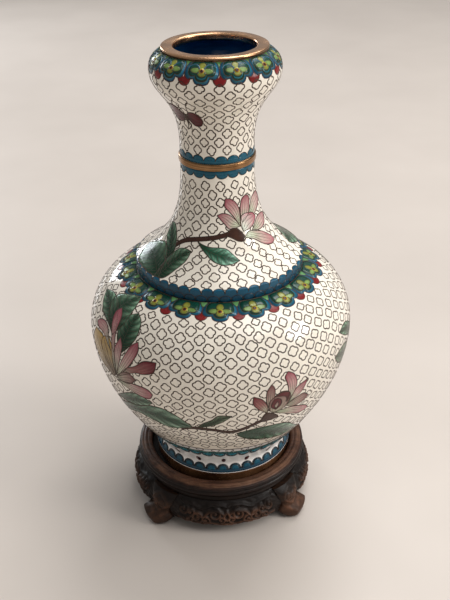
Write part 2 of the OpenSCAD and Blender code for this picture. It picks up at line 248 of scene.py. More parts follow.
def petal(bag, wires, base, left, tip, right, shade, h, veins=THREE_VEINS, n=44):
    """A petal or leaf between two sides that run from base to tip, with its wires.

    shade(along, across) gives its colour. Returns its outline."""
    a = even(spline([base] + left + [tip], 60), n)
    b = even(spline([base] + right[::-1] + [tip], 60), n)
    m = 11
    f = np.concatenate([[0], np.linspace(0, 1, m), [1]])
    lift = np.concatenate([[SINK], np.full(m, h), [SINK]])
    Q = a[None] * (1 - f[:, None, None]) + b[None] * f[:, None, None]
    P = surf(Q[..., 0], Q[..., 1], lift[:, None])
    along = np.broadcast_to(np.linspace(0, 1, n)[None], P.shape[:2])
    across = np.broadcast_to((f * 2 - 1)[:, None], P.shape[:2])
    bag.grid(P, shade(along, across))
    for side in (a, b):
        ribbon(wires, side, 0.52, h + 0.05)
    if veins == MIDRIB:
        for i in range(4, n - 5, 3):
            for side in (a, b):
                mid = (a[i] + b[i]) / 2
                end = side[min(n - 2, i + 4)]
                q = mid + (end - mid) * np.linspace(0.05, 0.9, 6)[:, None]
                ribbon(wires, q, 0.30, h + 0.03, taper=True)
    for v in veins:
        q = a * (1 - v) + b * v
        first, last = int(n * 0.08), int(n * (0.80 - 0.25 * abs(v - 0.5)))
        ribbon(wires, q[first:last], 0.30, h + 0.03, taper=True)
    return np.concatenate([a, b[::-1]])


# ---- colours
def srgb(r, g, b):
    c = np.array([r, g, b], float) / 255
    return np.where(c <= 0.04045, c / 12.92, ((c + 0.055) / 1.055) ** 2.4)


def mix(a, b, t):
    t = np.asarray(t, float)[..., None]
    return np.asarray(a) * (1 - t) + np.asarray(b) * t


def ramp(stops):
    xs = [s[0] for s in stops]
    cs = np.array([s[1] for s in stops])

    def f(t):
        return np.stack([np.interp(t, xs, cs[:, i]) for i in range(3)], -1)
    return f


CREAM = srgb(250, 242, 228)
FOOT_WHITE = srgb(250, 248, 246)
LINER_BLUE = srgb(18, 74, 122)
BORDER_BLUE = srgb(30, 84, 118)
BORDER_TEAL = srgb(28, 104, 122)
BORDER_GREEN = srgb(18, 66, 54)
FLOWER_GREEN = srgb(138, 172, 92)
FLOWER_YELLOW = srgb(158, 162, 66)
DROP_RED = srgb(126, 26, 28)
RING_BLUE = srgb(10, 86, 108)
SCALE_TOP = srgb(2, 80, 108)
SCALE_LOW = srgb(2, 50, 72)
BARK = srgb(66, 40, 32)



# ---- materials
def base_material(name, rough, metallic=0.0, coat=0.0):
    m = bpy.data.materials.new(name)
    m.use_nodes = True
    bsdf = m.node_tree.nodes["Principled BSDF"]
    for socket, value in (("Metallic", metallic), ("Roughness", rough), ("IOR", 1.5),
                          ("Coat Weight", coat), ("Coat Roughness", 0.06)):
        bsdf.inputs[socket].default_value = value
    return m, m.node_tree, bsdf


def tint(nt):
    """The colour that each vertex carries."""
    n = nt.nodes.new("ShaderNodeAttribute")
    n.attribute_name = "tint"
    return n.outputs["Color"]


def noise(nt, scale, detail=4.0, rough=0.55, stretch=None):
    out = nt.nodes.new("ShaderNodeTexCoord").outputs["Object"]
    if stretch:
        mapping = nt.nodes.new("ShaderNodeMapping")
        mapping.inputs["Scale"].default_value = stretch
        nt.links.new(out, mapping.inputs["Vector"])
        out = mapping.outputs["Vector"]
    n = nt.nodes.new("ShaderNodeTexNoise")
    n.inputs["Scale"].default_value = scale
    n.inputs["Detail"].default_value = detail
    n.inputs["Roughness"].default_value = rough
    nt.links.new(out, n.inputs["Vector"])
    return n.outputs["Fac"]


def curve(nt, src, stops):
    """A colour ramp; a stop's value is a colour or one number for a grey."""
    r = nt.nodes.new("ShaderNodeValToRGB")
    for e, (x, c) in zip(r.color_ramp.elements, stops):
        e.position = x
        e.color = (*c, 1) if hasattr(c, "__len__") else (c, c, c, 1)
    nt.links.new(src, r.inputs["Fac"])
    return r.outputs["Color"]


def blend_rgb(nt, kind, fac, a, b):
    """Mixes two colours. Each argument is an output to link or a value to set."""
    m = nt.nodes.new("ShaderNodeMix")
    m.data_type = "RGBA"
    m.blend_type = kind
    colours = [s for s in m.inputs if s.type == "RGBA"]
    for sock, v in zip([m.inputs["Factor"], *colours], (fac, a, b)):
        if hasattr(v, "is_linked"):
            nt.links.new(v, sock)
        elif hasattr(v, "__len__"):
            sock.default_value = (*v, 1)
        else:
            sock.default_value = v
    return [s for s in m.outputs if s.type == "RGBA"][0]


def dress(nt, bsdf, colour, rough, height, dist, strength=1.0):
    """Links a material's colour, its roughness and its bump, which is dist metres deep."""
    b = nt.nodes.new("ShaderNodeBump")
    b.inputs["Strength"].default_value = strength
    b.inputs["Distance"].default_value = dist
    nt.links.new(colour, bsdf.inputs["Base Color"])
    nt.links.new(rough, bsdf.inputs["Roughness"])
    nt.links.new(height, b.inputs["Height"])
    nt.links.new(b.outputs["Normal"], bsdf.inputs["Normal"])


def enamel(name, mottle, pits, rough, scale=120.0, coat=0.35, gloss=0.5):
    """Glass enamel: the vertex tint, mottled, with dark pinholes and a slightly wavy surface."""
    m, nt, bsdf = base_material(name, 0.15, coat=coat)
    bsdf.inputs["Specular IOR Level"].default_value = gloss
    mottling = curve(nt, noise(nt, scale, 5.0), [(0.30, mottle[0]), (0.70, mottle[1])])
    c = blend_rgb(nt, "MULTIPLY", 1.0, tint(nt), mottling)
    cells = nt.nodes.new("ShaderNodeTexVoronoi")
    cells.inputs["Scale"].default_value = 520.0
    nt.links.new(nt.nodes.new("ShaderNodeTexCoord").outputs["Object"], cells.inputs["Vector"])
    dots = curve(nt, cells.outputs["Distance"], [(0.05, 1.0), (0.13, 0.0)])
    some = curve(nt, noise(nt, 260.0, 2.0), [(0.56, 0.0), (0.64, pits)])
    c = blend_rgb(nt, "MIX", blend_rgb(nt, "MULTIPLY", 1.0, dots, some), c, (0.10, 0.07, 0.05))
    r = curve(nt, noise(nt, 300.0, 3.0), [(0.35, rough[0]), (0.75, rough[1])])
    dress(nt, bsdf, c, r, noise(nt, 190.0, 2.0), 0.00012)
    return m


def metal(name, dark, light, rough=(0.25, 0.45), metallic=1.0, scale=160.0, bumpy=0.00008):
    """Metal that varies from dark to light, times the vertex tint."""
    m, nt, bsdf = base_material(name, 0.35, metallic=metallic)
    c = curve(nt, noise(nt, scale, 6.0, 0.65), [(0.30, dark), (0.62, light)])
    c = blend_rgb(nt, "MULTIPLY", 1.0, c, tint(nt))
    r = curve(nt, noise(nt, scale * 2.2, 4.0, 0.6), [(0.35, rough[0]), (0.70, rough[1])])
    dress(nt, bsdf, c, r, noise(nt, scale * 4, 4.0, 0.6), bumpy)
    return m


def rosewood(name, dark, mid, wear_and_highlight_colour, coat=0.08):
    """Streaked dark wood. The vertex tint's red is wear and painted highlight, and its green is painted
    shade.
    """
    m, nt, bsdf = base_material(name, 0.45, coat=coat)
    bsdf.inputs["Specular IOR Level"].default_value = 0.2
    bsdf.inputs["Coat Roughness"].default_value = 0.22
    fine = noise(nt, 420.0, 5.0, 0.7, (1.0, 9.0, 2.0))
    c = curve(nt, noise(nt, 90.0, 6.0, 0.6, (1.0, 6.0, 3.0)), [(0.32, dark), (0.68, mid)])
    c = blend_rgb(nt, "MULTIPLY", 0.8, c, curve(nt, fine, [(0.36, 0.45), (0.52, 1.0)]))
    sep = nt.nodes.new("ShaderNodeSeparateColor")
    nt.links.new(tint(nt), sep.inputs["Color"])
    patches = curve(nt, noise(nt, 55.0, 5.0, 0.65), [(0.40, 0.15), (0.66, 1.0)])
    # the red tint lightens the wood in patches: partly real wear, partly painted highlight
    wear_and_highlight = blend_rgb(nt, "MULTIPLY", 1.0, sep.outputs["Red"], patches)
    c = blend_rgb(nt, "MIX", wear_and_highlight, c, wear_and_highlight_colour)
    # the green tint darkens the wood almost to black as painted shade
    c = blend_rgb(nt, "MIX", sep.outputs["Green"], c, (0.004, 0.0025, 0.002))
    dress(nt, bsdf, c, curve(nt, noise(nt, 200.0), [(0.3, 0.36), (0.7, 0.60)]), fine, 0.00010, 0.8)
    return m


M_FIELD = enamel("cream_enamel", (0.93, 1.04), 0.45, (0.08, 0.20))
M_MOTIF = enamel("painted_enamel", (0.80, 1.12), 0.25, (0.14, 0.30), scale=260.0, coat=0.0, gloss=0.32)
M_BORDER = enamel("border_enamel", (0.78, 1.15), 0.30, (0.16, 0.34), scale=240.0, coat=0.0, gloss=0.36)
M_LINING = enamel("lining_enamel", (0.70, 1.30), 0.1, (0.10, 0.22), scale=70.0)
M_WIRE = metal("wire_copper", (0.018, 0.009, 0.005), (0.062, 0.031, 0.015),
               rough=(0.45, 0.65), metallic=0.25, scale=200.0)
M_COPPER = metal("copper", (0.30, 0.13, 0.07), (0.62, 0.30, 0.17))
M_BRASS = metal("brass", (0.58, 0.36, 0.21), (0.80, 0.54, 0.34),
                rough=(0.16, 0.32), scale=70.0, bumpy=0.00004)
M_BRASS_AGED = metal("aged_brass", (0.17, 0.085, 0.037), (0.38, 0.215, 0.10),
                     rough=(0.16, 0.30), scale=70.0, bumpy=0.00003)
M_BRASS_FOOT = metal("worn_brass", (0.06, 0.020, 0.010), (0.27, 0.125, 0.055),
                     rough=(0.20, 0.36), metallic=0.6, scale=60.0)
M_WOOD = rosewood("rosewood", (0.010, 0.005, 0.003), (0.042, 0.019, 0.010), (0.28, 0.125, 0.07), coat=0.04)
M_WOOD_TOP = rosewood("rosewood_top", (0.016, 0.007, 0.0045), (0.098, 0.040, 0.024), (0.25, 0.125, 0.07))
# a darker copy of the rosewood: painted shade for the waist groove and for the board inside the ring
M_WOOD_SHADED = rosewood("rosewood_painted_shade", (0.005, 0.003, 0.002), (0.018, 0.009, 0.006), (0.10, 0.05, 0.03),
                       coat=0.03)

# ---- enamel skins
SHOULDER_CUT = u_on("shoulder", 66)
LOW_SCALLOP_CUT = u_on("flare", 86)
TOP_SCALLOP_CUT = u_on("bulb", 12)
MOUTH_CUT = u_on("bulb", 86)
SKIN_DEPTH = 0.95
SKINS = [
    ("enamel_foot_border", U_FOOT, U_FOOT_WIRE - 0.3, "enamel_border", FOOT_WHITE),
    ("enamel_belly", U_FOOT_WIRE + 0.3, 0.0, "enamel_field", CREAM),
    ("enamel_shoulder", 0.0, SHOULDER_CUT, "enamel_field", CREAM),
    ("enamel_shoulder_border", SHOULDER_CUT, U_COLLAR, "enamel_border", CREAM),
    ("enamel_collar", U_COLLAR + 0.6, U_COLLAR_TOP - 0.6, "enamel_border", CREAM),
    ("enamel_neck", U_COLLAR_TOP, LOW_SCALLOP_CUT, "enamel_field", CREAM),
    ("enamel_neck_low_border", LOW_SCALLOP_CUT, U_RING_LOW, "enamel_border", CREAM),
    ("enamel_neck_top_border", U_RING_TOP, TOP_SCALLOP_CUT, "enamel_border", CREAM),
    ("enamel_mouth", TOP_SCALLOP_CUT, MOUTH_CUT, "enamel_field", CREAM),
    ("enamel_mouth_border", MOUTH_CUT, U_EDGE, "enamel_border", CREAM),
]
for node, u0, u1, slot, colour in SKINS:
    us = np.linspace(u0, u1, max(5, int((u1 - u0) / 1.1)))
    us = np.concatenate([[u0, u0 + 0.03], us[1:-1], [u1 - 0.03, u1]])
    outer = surf(ROUND[:, None], us[None], 0.0)
    inner = surf(ROUND[:, None], us[None, ::-1], -SKIN_DEPTH)
    skin = Bag()
    skin.grid(np.concatenate([outer, inner], 1), colour, closed_i=True, closed_j=True)
    skin.make(node + "_skin", M_FIELD, "vase", slot, (node,))

# ---- borders
borders, border_wires = Bag(), Bag()


def wire(path, w, h, closed=False):
    ribbon(border_wires, path, w, h, closed)


def ring_wire(u, w, h):
    wire(np.stack([ROUND, np.full(len(ROUND), u)], 1), w, h, closed=True)


def band(u0, u1, h, col, m=4):
    us = np.concatenate([[u0], np.linspace(u0, u1, m), [u1]])
    lift = np.concatenate([[SINK], np.full(m, h), [SINK]])
    borders.grid(surf(ROUND[:, None], us[None], lift[None]), col, closed_i=True)


def lobe_edge(c, u_base, u_tip, half, n=15, power=0.5):
    """An open scallop from left to right, with its tip at u_tip."""
    t = np.linspace(-1, 1, n)
    return np.stack([c + t * half, u_base + (u_tip - u_base) * np.maximum(1 - t * t, 0) ** power], 1)


def scallops(count, first, u_base, u_tip, layers, fill=1.0):
    """A row of scallops, each of coloured layers from the outside in: (share of the size, colour)."""
    pitch = 360 / count
    for i in range(count):
        c = first + i * pitch + rng.uniform(-0.03, 0.03) * pitch
        reach = u_tip + rng.uniform(-0.05, 0.05) * (u_tip - u_base) - u_base
        for j, (f, col) in enumerate(layers):
            half = pitch / 2 * fill * f
            edge = lobe_edge(c, u_base, u_base + reach * f, half)
            loop = np.concatenate([edge, [[c + half * 0.5, u_base], [c, u_base], [c - half * 0.5, u_base]]])
            if u_tip < u_base:
                loop = loop[::-1]
            fill_loop(borders, loop, 0.08 + 0.03 * j, col, 2, (c, u_base + reach * f * 0.35))
            wire(edge, 0.4, 0.13 + 0.03 * j)


def foot_border():
    """A teal band with hanging scallops, a row of dots, and rising scallops."""
    band(-69.0, -66.9, 0.08, srgb(48, 116, 112))
    for u in (-66.8, -69.2):
        ring_wire(u, 0.5, 0.17)
    band(-71.2, -69.0, 0.09, srgb(36, 92, 104))
    scallops(44, -3.0, -71.0, -77.6, [(1.0, srgb(22, 66, 78)), (0.74, srgb(50, 124, 138))])
    band(-96.5, -93.9, 0.07, srgb(16, 62, 84))
    scallops(36, -1.0, -94.6, -90.8, [(1.0, srgb(8, 52, 66)), (0.72, srgb(14, 82, 104))])
    for i in range(18):
        az, u = -1 + 20 * i + rng.uniform(-0.6, 0.6), -86.0 + rng.uniform(-0.5, 0.5)
        s = rng.uniform(0.9, 1.15)
        loop = np.stack([az + np.cos(circle(14)) * s * degrees_per_mm(u) * 1.15,
                         u + np.sin(circle(14)) * s * 2.9], 1)
        fill_loop(borders, loop, 0.10, srgb(70, 20, 18), 2)
        wire(loop, 0.35, 0.14, closed=True)


# right half of a lappet's outline, from the middle of its tip: (share of the half width, of the length)
LAPPET_HALF = [(0.30, 0.95), (0.43, 0.84), (0.47, 0.745), (0.60, 0.765), (0.78, 0.765), (0.93, 0.68),
               (1.0, 0.54), (1.0, 0.28), (0.90, 0.08), (0.70, 0.0)]
LAPPET = [(-x, y) for x, y in LAPPET_HALF[::-1]] + [(0, 1.0)] + LAPPET_HALF
# size of each layer across and along, its colour, and whether a wire runs round it
LAPPET_LAYERS = [(1.0, 1.0, BORDER_BLUE, True), (0.90, 0.93, BORDER_TEAL, False),
                 (0.80, 0.85, BORDER_GREEN, True)]
# place of each of the flower's lobes, its half sizes in mm, and its colour
FLOWER_LOBES = [(-0.50, 0.03, 2.9, 1.6, FLOWER_GREEN), (0.50, 0.0, 2.9, 1.6, FLOWER_GREEN),
                (0.0, 0.215, 2.0, 2.6, FLOWER_YELLOW), (0.02, -0.09, 2.1, 1.95, FLOWER_YELLOW)]
# radius, height and colour of each ring of its heart
FLOWER_HEART = [(1.75, 0.205, FLOWER_YELLOW), (1.25, 0.225, srgb(178, 122, 36)),
                (0.8, 0.245, srgb(58, 24, 16))]


def lappet(c, u_top, u_tip, half, flower_u, brows=False):
    """A scalloped lappet that hangs from u_top, with a four-lobed flower and at the mouth two blue arcs."""
    length = u_top - u_tip
    for j, (fx, fy, col, wired) in enumerate(LAPPET_LAYERS):
        edge = spline([(c + x * half * fx, u_top - y * length * fy) for x, y in LAPPET], 61)
        top = [[c + half * fx * x, u_top] for x in (0.46, 0.23, 0, -0.23, -0.46)]
        loop = np.concatenate([edge, top])
        fill_loop(borders, loop, 0.08 + 0.03 * j, col, 3, (c, u_top - 0.40 * length * fy))
        if wired:
            wire(edge, 0.42, 0.14 + 0.03 * j)
    if brows:
        for s in (-1, 1):
            a = np.radians(np.linspace(-35, 165, 16))
            brow = np.stack([c + s * half * (0.50 - 0.36 * np.cos(a)),
                             flower_u + length * (0.05 + 0.25 * np.sin(a))], 1)
            ribbon(borders, brow, 0.85, 0.20, col=srgb(30, 110, 140))
            wire(brow, 0.30, 0.23)
    k = degrees_per_mm(flower_u)
    size = (half * float(rad(flower_u)) / 510) ** 0.6
    across, up = np.cos(circle(20)), np.sin(circle(20))
    for j, (x, y, a, b, col) in enumerate(FLOWER_LOBES):
        az, u = c + x * half * 0.66, flower_u + y * length * size
        loop = np.stack([az + across * a * k * size / 0.95, u + up * b * size * length / 12.9], 1)
        fill_loop(borders, loop, 0.15 + 0.006 * j, lambda u, f, col=col: mix(col * 0.85, col * 0.50, f), 3)
        wire(loop, 0.34, 0.18, closed=True)
    for r, h, col in FLOWER_HEART:
        loop = np.stack([c + r * size * across * k, flower_u + r * size * up * 0.95], 1)
        fill_loop(borders, loop, h, col, 2)
    wire(loop, 0.30, 0.26, closed=True)


def drop(c, u0, u1, half):
    """A red half-round drop between two lappets, which runs up to a point between them."""
    th = np.linspace(math.pi, 2 * math.pi, 15)
    length = u1 - u0
    edge = np.stack([c + np.cos(th) * half, u0 + length * 0.42 + np.sin(th) * length * 0.42], 1)
    tip = [[c + half * 0.45, u0 + length * 0.72], [c, u1], [c - half * 0.45, u0 + length * 0.72]]
    loop = np.concatenate([edge, tip])

    def shade(u, f):
        return mix(DROP_RED, DROP_RED * 0.55, np.clip((u - u0) / length * 1.3 - 0.3, 0, 1))
    fill_loop(borders, loop, 0.062, shade, 3)
    wire(loop, 0.40, 0.075, closed=True)


def shoulder_border():
    """Eighteen lappets under the collar, with a red drop and a green triangle between each two."""
    for i in range(18):
        c = -0.7 + 20 * i + rng.uniform(-0.25, 0.25)
        lappet(c, U_COLLAR, 36.3 + rng.uniform(-0.3, 0.3), 9.9, 42.2)
    for i in range(18):
        c = 9.3 + 20 * i
        drop(c + rng.uniform(-0.3, 0.3), 36.5, 43.6, 3.4)
        corners = np.array([[c - 2.6, U_COLLAR - 0.1], [c - 0.6, 45.2],
                            [c + 0.6, 45.2], [c + 2.6, U_COLLAR - 0.1]])
        sides = [np.linspace(corners[j], corners[(j + 1) % 4], 5)[:-1] for j in range(4)]
        loop = np.concatenate(sides)
        fill_loop(borders, loop, 0.20, srgb(96, 150, 92), 2)
        wire(loop, 0.35, 0.24, closed=True)


def collar_border():
    """Two rows of scales on the collar's wall. The upper row rises over its edge."""
    count, half, u_waist = 47, 3.83, 54.0
    band(U_COLLAR + 0.3, 54.1, 0.05, SCALE_LOW)
    t = np.append(np.linspace(0, 0.93, 14), 0.99)
    widths = half * np.concatenate([[0.98, 0.98], np.sqrt(1 - t ** 2.38)])
    across = np.linspace(-1, 1, 9)[:, None]
    for i in range(count):
        c = -1.0 + i * 360 / count + rng.uniform(-0.2, 0.2)
        u_tip = 57.2 + rng.uniform(-0.2, 0.2)
        us = np.concatenate([[51.0, 52.5], u_waist + (u_tip - u_waist) * t])
        shade = mix(SCALE_TOP * rng.uniform(0.85, 1.2), SCALE_TOP * 0.5, np.clip((54.2 - us) / 3.0, 0, 1))
        P = surf(c + across * widths, us + across * 0, 0.11)
        borders.grid(P, np.broadcast_to(shade, P.shape))
        wire(lobe_edge(c, u_waist, u_tip, half, n=21, power=0.42), 0.48, 0.15)
        c += 180 / count
        edge = lobe_edge(c, U_COLLAR + 1.4, 52.9, 3.8, power=0.45)
        base = [[c - 1.8, U_COLLAR + 0.5], [c, U_COLLAR + 0.5], [c + 1.8, U_COLLAR + 0.5]]
        loop = np.concatenate([edge[::-1], base])
        fill_loop(borders, loop, 0.13, mix(SCALE_LOW, SCALE_TOP, 0.35), 3, (c, 50.2))
        wire(edge, 0.42, 0.17)
    ring_wire(U_COLLAR, 0.75, 0.22)
    ring_wire(U_FOOT_WIRE, 0.7, 0.20)


def neck_ring_borders():
    """A blue band with shallow scallops above and below the brass ring."""
    band(U_RING_TOP + 0.1, 127.9, 0.075, RING_BLUE)
    scallops(20, 6.0, 127.2, 129.9, [(1.0, RING_BLUE)], fill=1.02)
    band(119.3, U_RING_LOW - 0.1, 0.075, RING_BLUE)
    scallops(20, 6.0, 120.0, 117.5, [(1.0, RING_BLUE)], fill=1.02)


def mouth_border():
    """Twelve lappets under the rim on a green ground, with a red drop between each two."""
    band(179.0, U_EDGE, 0.05, srgb(92, 140, 84))
    for i in range(12):
        c = 18 + 30 * i + rng.uniform(-0.5, 0.5)
        lappet(c, U_EDGE, 174.2 + rng.uniform(-0.3, 0.3), 14.8, 181.0, brows=True)
    for i in range(12):
        drop(33.3 + 30 * i + rng.uniform(-0.5, 0.5), 173.7, 182.4, 5.6)


foot_border()
shoulder_border()
collar_border()
neck_ring_borders()
mouth_border()


# ---- flowers, leaves and the butterfly
def petal_shade(*tip_mid_base):
    """Colour from base to tip, turning to the tip's colour along the edges too, with faint streaks."""
    tip, mid, base = (srgb(*c) for c in tip_mid_base)
    f = ramp([(0, base * 0.9), (0.22, base), (0.50, mid), (0.92, tip), (1, tip * 0.85)])

    def shade(along, across):
        edge = np.clip(np.abs(across) * 1.3 - 0.75, 0, 1) * 0.45
        streak = 0.05 * np.sin(across * 19)
        return f(np.clip(along + edge + streak, 0, 1))
    return shade


def leaf_shade(dark, light):
    """Dark at the base and the midrib, with light barbs that run out to the rim."""
    dark, light = srgb(*dark), srgb(*light)

    def shade(along, across):
        barb = (0.5 + 0.5 * np.sin(along * 40 - np.abs(across) * 9)) ** 1.5
        reach = np.clip((along - 0.22) * 1.7, 0, 1)
        rim = np.clip(np.abs(across) * 1.7 - 0.25, 0.10, 1)
        base = dark * (0.75 + 0.25 * np.abs(across))[..., None]
        return mix(base, light, np.clip(reach * rim * (0.18 + 0.82 * barb), 0, 1))
    return shade


pink = petal_shade((156, 80, 92), (206, 170, 164), (206, 210, 184))
blush = petal_shade((162, 96, 104), (206, 178, 170), (196, 200, 174))
pale_pink = petal_shade((176, 112, 118), (202, 180, 168), (194, 204, 172))
white_pink = petal_shade((176, 92, 106), (218, 196, 190), (224, 228, 212))
dusk = petal_shade((120, 74, 74), (166, 142, 130), (172, 166, 146))
dark_red = petal_shade((106, 36, 46), (162, 106, 102), (182, 176, 156))
deep_red = petal_shade((84, 30, 34), (100, 40, 42), (74, 26, 28))
wing = petal_shade((76, 20, 26), (96, 32, 38), (70, 24, 28))
golden = petal_shade((186, 148, 66), (168, 142, 92), (128, 108, 82))
brown = petal_shade((62, 38, 30), (70, 44, 34), (62, 38, 30))
leafy = leaf_shade((12, 56, 34), (150, 190, 158))
grey_leaf = leaf_shade((48, 74, 54), (146, 162, 134))
low_leaf = leaf_shade((30, 72, 50), (172, 204, 178))
mint_leaf = leaf_shade((16, 80, 54), (176, 236, 206))

motifs, motif_wires = Bag(), Bag()


def paint_side(turn):
    """All the motifs of one side of the vase, turned by so many degrees. Returns their outlines."""
    outlines = []

    def turned(places):
        return [(az + turn, u) for az, u in places]

    def add(base, left, tip, right, shade, h, **options):
        """A petal. Its outline is listed clockwise: left is base to tip, and right is tip to base."""
        base, tip = turned([base, tip])
        outline = petal(motifs, motif_wires, base, turned(left), tip, turned(right), shade, h, **options)
        outlines.append(outline)

    def leaf(*places_shade_and_h):
        add(*places_shade_and_h, veins=MIDRIB)

    def branch(places):
        w = 2.3
        p = spline(turned(places), 14 * len(places))
        ribbon(motifs, p, w, 0.10, col=BARK)
        left, up, k = across_path(p)
        for s in (1, -1):
            side = np.stack([p[:, 0] + s * left * w / 2 / k, p[:, 1] + s * up * w / 2], 1)
            ribbon(motif_wires, side, 0.4, 0.15)

    # magnolia on the neck flare
    branch([(-52, 76.5), (-46, 80), (-40, 82), (-30, 83.6), (-15, 85), (0, 86.2), (13, 87.6)])
    add((28, 90.5), [(14, 89.8), (8, 92.5), (2, 95.5)], (-2.4, 97.6),
        [(5, 98.6), (12, 98), (18, 96.3), (23, 94)], blush, 0.10)
    add((28.5, 90.3), [(22, 95.3), (14, 99.5), (8.5, 102.5)], (10, 106.4),
        [(18, 106), (26, 103.4), (30, 99.5), (29.5, 94)], pink, 0.12)
    add((32, 92), [(31.3, 97), (33, 102), (37, 105)], (43, 106.2), [(49, 105.3), (50.5, 102.5), (45, 96)],
        pink, 0.12)
    add((44, 95), [(50, 99), (57, 103), (66, 104.4), (75, 104.4)], (84, 100),
        [(75, 97), (65, 95.5), (55, 94)], blush, 0.11)
    add((44, 86.5), [(52, 89), (60, 91.5), (72, 91.8)], (84, 90.2), [(76, 86.5), (66, 85), (55, 85)], blush,
        0.12)
    add((31, 84), [(38, 86.4), (48, 85.2), (57, 83.6), (65, 80.5), (69.6, 77.5)], (71, 74.8),
        [(63, 74.2), (55, 75.6), (49, 78), (42, 81.5)], pale_pink, 0.13)
    add((31, 87.3), [(29.6, 91), (31, 95), (37, 96.4), (46, 96), (53, 95)], (57, 92.4),
        [(50, 89.4), (41, 87.8)], white_pink, 0.16)
    add((9, 86.4), [(13, 89.2), (19, 90.2), (25, 89)], (31, 85), [(28, 82.4), (22, 82.8), (15, 85)], brown,
        0.19, veins=())
    leaf((-25, 83), [(-20, 81.8), (-10, 80.5), (2, 80.2), (9, 78.7)], (18.4, 72.4),
         [(10, 70.9), (2, 70.9), (-6, 73), (-14, 77), (-20, 80)], mint_leaf, 0.12)
    leaf((-46, 66), [(-50, 77), (-59, 84), (-69, 87)], (-80, 86), [(-74, 79), (-66, 76), (-58, 70)], leafy,
         0.10)
    leaf((-46, 57), [(-54, 70), (-66, 75), (-78, 73)], (-93, 65), [(-80, 57.2), (-66, 56.6), (-55, 56.5)],
         leafy, 0.12)
    leaf((-50, 57), [(-51, 68), (-46, 75.4), (-38, 77.6)], (-29.5, 77),
         [(-31.5, 71.5), (-37, 65), (-42.5, 58)], leafy, 0.14)
    # butterfly
    add((-38, 151.4), [(-34, 154.6), (-27, 155.2), (-20, 152.8)], (-17, 149.6),
        [(-20.5, 146.8), (-28, 146.4), (-34, 148.2)], wing, 0.12)
    add((-40, 151.6), [(-46, 156), (-54, 158.6), (-62, 157)], (-66, 153),
        [(-62, 148.6), (-54, 147.4), (-46, 148.6)], wing, 0.12)
    add((-39.2, 153.4), [(-41, 150)], (-39.6, 146), [(-37.6, 150)], brown, 0.17, veins=())
    for az, u in ((-33, 159), (-45, 160), (-36, 143), (-44, 143)):
        feeler = turned([(-39, 151), ((-39 + az) / 2 + 1.2, (u + 150) / 2), (az, u)])
        ribbon(motif_wires, spline(feeler, 14), 0.4, 0.16)
    # belly, left flower: leaves first, then petals
    leaf((-53, 14), [(-54, 22), (-61, 30), (-70, 31.8)], (-78, 28.5), [(-74, 24), (-68, 20), (-60, 18)],
         leafy, 0.10)
    leaf((-54, 14), [(-64, 24), (-66, 33), (-58, 38)], (-50, 41), [(-48.6, 33), (-49.4, 23)], leafy, 0.12)
    leaf((-46, 8), [(-50.5, 15), (-51, 26)], (-44.5, 32), [(-40.4, 28), (-39.6, 20), (-42.5, 13)], leafy,
         0.10)
    leaf((-58, -31), [(-50, -23), (-44, -18), (-38, -15.4)], (-31, -18), [(-37, -24), (-47, -28.5)],
         low_leaf, 0.10)
    leaf((-64, -43), [(-52, -32), (-41, -26), (-33, -21), (-26, -20.2), (-20, -24)], (-13.8, -32),
         [(-19, -34.6), (-26, -37.2), (-34, -35.4), (-43, -34.5), (-54, -41)], low_leaf, 0.13)
    add((-52, -12), [(-66, -8), (-72, 0)], (-69, 9), [(-60, 9), (-54, -2)], golden, 0.10)
    add((-52, -10), [(-60, 0), (-61, 8)], (-56, 12), [(-51, 6), (-50, -4)], golden, 0.12)
    add((-53, 5), [(-59, 16), (-65, 16.8)], (-69.5, 13), [(-66, 11), (-60, 11)], pink, 0.14)
    add((-51, -10), [(-51.8, 2), (-53.6, 12), (-57, 20), (-58.4, 26)], (-56, 29.6),
        [(-52.6, 25), (-52, 16), (-50, 4)], pink, 0.15)
    add((-50.5, -9), [(-50.2, 0), (-50.6, 8)], (-48.2, 16), [(-46, 11), (-47, 2)], blush, 0.15)
    add((-50, -9), [(-46, 2), (-43, 10), (-41, 14.8)], (-38, 18), [(-37, 13), (-39.4, 6), (-44, -2)], pink,
        0.17)
    add((-50, -10), [(-43, 0), (-38, 4), (-33.5, 9)], (-27.6, 10.4),
        [(-28.5, 4.6), (-33, 1.4), (-39, -0.6)], dark_red, 0.16)
    add((-51, -11), [(-46, -4.5), (-42, -2.2)], (-38, -4.6), [(-41, -9), (-46, -11)], dusk, 0.18)
    add((-51, -13), [(-43, -9.5), (-36, -8), (-32, -8.4)], (-30, -11),
        [(-32, -15), (-36, -15.8), (-43, -14.4)], blush, 0.16)
